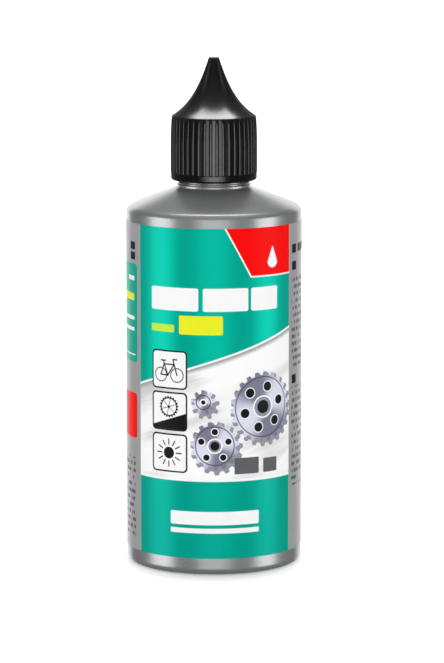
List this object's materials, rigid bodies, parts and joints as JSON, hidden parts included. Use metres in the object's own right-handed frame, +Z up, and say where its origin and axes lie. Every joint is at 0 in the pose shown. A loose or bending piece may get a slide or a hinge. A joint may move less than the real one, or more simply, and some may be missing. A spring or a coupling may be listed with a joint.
{
  "type": "chain lube bottle",
  "caption": "Round silver squeeze bottle for bicycle chain lube with a wraparound label and a black ribbed screw cap drawn out into a hollow cone over a dropper spout.",
  "frame": {"origin": "centre of the foot ring, on the surface that the bottle stands on", "axes": "+Z up along the bottle's axis, -Y out of the middle of the label's front"},
  "size_m": [0.0432, 0.0433, 0.1242],
  "materials": {
    "bottle_hdpe": "pearl silver-grey blow-moulded HDPE, satin gloss",
    "label_film": "printed wraparound film with a teal, silver and red front panel, satin",
    "lube_fill": "clear amber oil",
    "nozzle_ldpe": "natural milky LDPE",
    "seal_foam": "white closed-cell PE foam",
    "cap_pp": "black moulded PP, satin gloss"
  },
  "bodies": {
    "bottle": {"bottle": "bottle_hdpe", "label": "label_film", "lube": "lube_fill", "nozzle": "nozzle_ldpe"},
    "seal": {"seal_ring": "seal_foam"},
    "cap": {"cap": "cap_pp"}
  },
  "joints": [
    {"name": "cap_rise", "type": "slide", "parent": "bottle", "child": "seal", "axis": [0, 0, 1], "range_m": [0, 0.032]},
    {"name": "cap_turn", "type": "hinge", "parent": "seal", "child": "cap", "pos_m": [0, 0, 0.1], "axis": [0, 0, 1], "range_deg": [0, 3600]}
  ],
  "couplings": [
    {"joint": "cap_rise", "follows": "cap_turn", "m_per_rad": 0.00050532}
  ]
}
